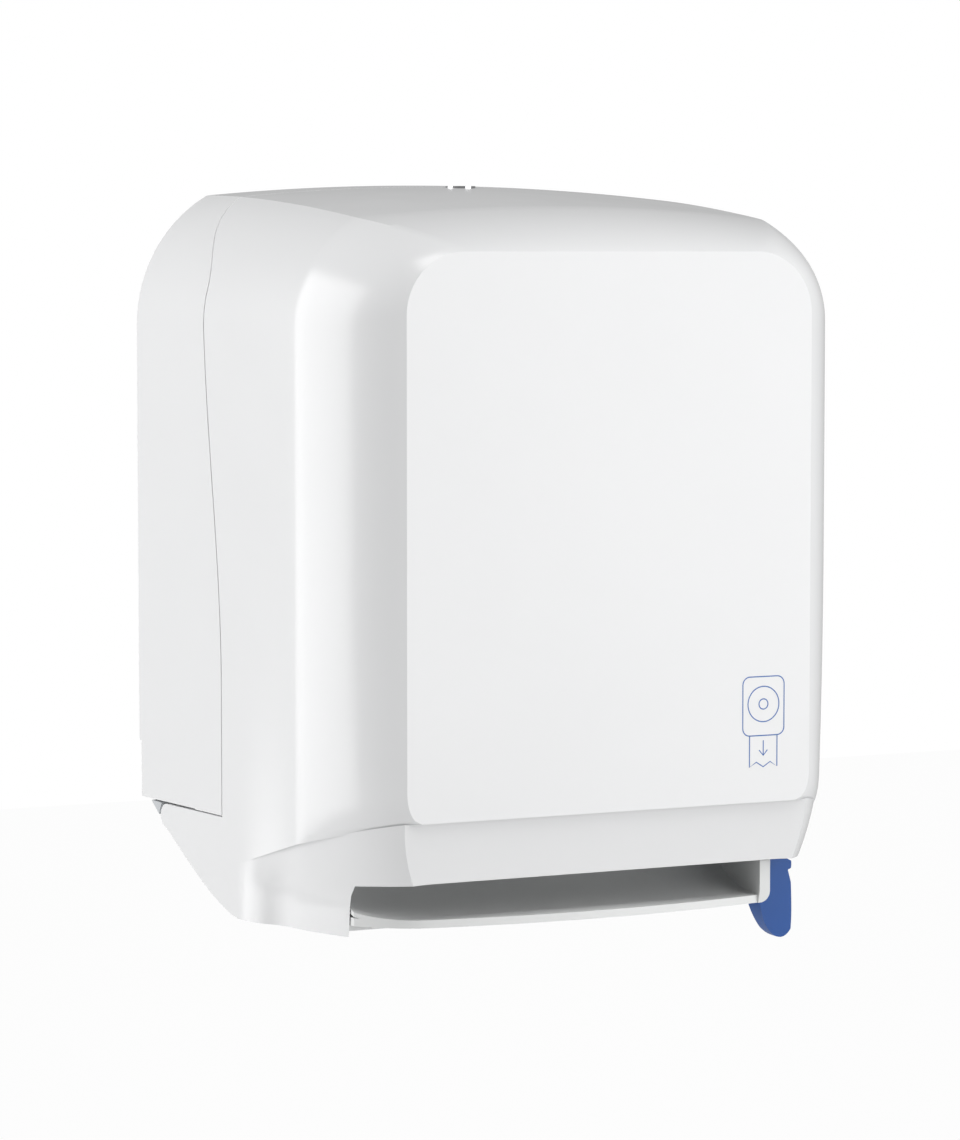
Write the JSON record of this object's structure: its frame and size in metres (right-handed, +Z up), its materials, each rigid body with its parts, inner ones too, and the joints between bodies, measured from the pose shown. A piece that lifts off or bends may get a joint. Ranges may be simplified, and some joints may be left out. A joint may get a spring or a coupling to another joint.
{
  "type": "lever paper towel dispenser",
  "caption": "Wall-mounted roll towel dispenser with a hinged rounded cover, a bottom outlet with a curved tray and a blue push lever.",
  "frame": {"origin": "centre of the four wall screws, on the wall plane", "axes": "+X to the right as seen from the front, +Y into the wall, +Z up"},
  "size_m": [0.33, 0.224, 0.3905],
  "materials": {
    "white_cover": "satin moulded ABS",
    "grey_frame": "moulded ABS",
    "white_tray": "moulded ABS",
    "blue_plastic": "satin moulded POM",
    "white_nylon": "moulded POM",
    "bronze": "sintered bronze",
    "grip_rubber": "matt",
    "steel": "zinc plated",
    "spring_steel": "plain spring wire",
    "lock_metal": "plated die-casting"
  },
  "bodies": {
    "chassis": {"back_plate": "grey_frame", "rear_shell": "white_cover", "shell_screws": "steel", "hinge_pins": "steel", "lock_catch": "steel", "catch_screws": "steel", "left_cheek": "grey_frame", "right_cheek": "grey_frame", "cheek_screws": "steel", "tie_rods": "steel", "upper_guide": "grey_frame", "lower_guide": "grey_frame", "blade_bar": "grey_frame", "tear_blade": "steel", "blade_rivets": "steel", "feed_bushes": "bronze", "nip_springs": "spring_steel", "pivot_pin": "steel", "spring_post": "steel", "lever_spring": "spring_steel", "pawl_pin": "steel", "pawl_spring": "spring_steel", "left_arm": "grey_frame", "left_arm_screws": "steel", "arm_bracket": "grey_frame", "bracket_screws": "steel", "arm_hinge_pin": "steel", "arm_spring": "spring_steel", "pivot_ring": "steel"},
    "feed": {"feed_shaft": "steel", "feed_drum": "white_nylon", "grip_sleeves": "grip_rubber", "ratchet_wheel": "white_nylon", "hand_wheel": "blue_plastic"},
    "pinion": {"drive_pinion": "white_nylon", "one_way_clutch": "steel"},
    "lever": {"push_lever": "blue_plastic", "sector_gear": "white_nylon", "sector_screws": "steel"},
    "nip_carriage": {"nip_blocks": "white_nylon", "nip_shaft": "steel"},
    "nip": {"nip_roller": "grip_rubber"},
    "pawl": {"holding_pawl": "white_nylon"},
    "left_hub": {"left_hub": "white_nylon"},
    "right_arm": {"right_arm": "grey_frame"},
    "right_hub": {"right_hub": "white_nylon"},
    "cover": {"front_cover": "white_cover", "outlet_tray": "white_tray", "tray_screws": "steel", "lock_barrel": "lock_metal", "lock_nut": "lock_metal"},
    "lock": {"lock_plug": "lock_metal", "lock_cam": "lock_metal"}
  },
  "joints": [
    {"name": "cover_hinge", "type": "hinge", "parent": "chassis", "child": "cover", "pos_m": [0, -0.03, -0.146], "axis": [1, 0, 0], "range_deg": [0, 75]},
    {"name": "lock_turn", "type": "hinge", "parent": "cover", "child": "lock", "pos_m": [0, -0.049, 0.17], "axis": [0, 0, 1], "range_deg": [0, 90]},
    {"name": "lever_push", "type": "hinge", "parent": "chassis", "child": "lever", "pos_m": [0.108, -0.184, -0.05042], "axis": [1, 0, 0], "range_deg": [0, 20], "stiffness_Nm_per_rad": 4, "springref_deg": -11.46, "deforming": ["lever_spring"]},
    {"name": "pinion_turn", "type": "hinge", "parent": "chassis", "child": "pinion", "pos_m": [0.098, -0.157, -0.115], "axis": [1, 0, 0], "range_deg": [-80, 0]},
    {"name": "feed_spin", "type": "hinge", "parent": "chassis", "child": "feed", "pos_m": [-0.021, -0.157, -0.115], "axis": [1, 0, 0], "continuous": true},
    {"name": "nip_slide", "type": "slide", "parent": "chassis", "child": "nip_carriage", "axis": [0, -1, 0], "range_m": [0, 0.002], "stiffness_N_per_m": 2000, "springref_m": -0.002, "deforming": ["nip_springs"]},
    {"name": "nip_spin", "type": "hinge", "parent": "nip_carriage", "child": "nip", "pos_m": [-0.021, -0.1883, -0.115], "axis": [1, 0, 0], "continuous": true},
    {"name": "pawl_lift", "type": "hinge", "parent": "chassis", "child": "pawl", "pos_m": [-0.131, -0.133, -0.095], "axis": [-1, 0, 0], "range_deg": [-5, 3], "stiffness_Nm_per_rad": 0.02, "deforming": ["pawl_spring"]},
    {"name": "left_hub_spin", "type": "hinge", "parent": "chassis", "child": "left_hub", "pos_m": [-0.118, -0.11, 0.064], "axis": [1, 0, 0], "continuous": true},
    {"name": "right_arm_swing", "type": "hinge", "parent": "chassis", "child": "right_arm", "pos_m": [0.0866, -0.014, 0.064], "axis": [0, 0, 1], "range_deg": [0, 12], "stiffness_Nm_per_rad": 0.8, "springref_deg": -11.46, "deforming": ["arm_spring"]},
    {"name": "right_hub_spin", "type": "hinge", "parent": "right_arm", "child": "right_hub", "pos_m": [0.076, -0.11, 0.064], "axis": [1, 0, 0], "continuous": true}
  ],
  "couplings": [
    {"joint": "pinion_turn", "follows": "lever_push", "ratio": -4},
    {"joint": "nip_spin", "follows": "feed_spin", "ratio": -2.4444}
  ]
}
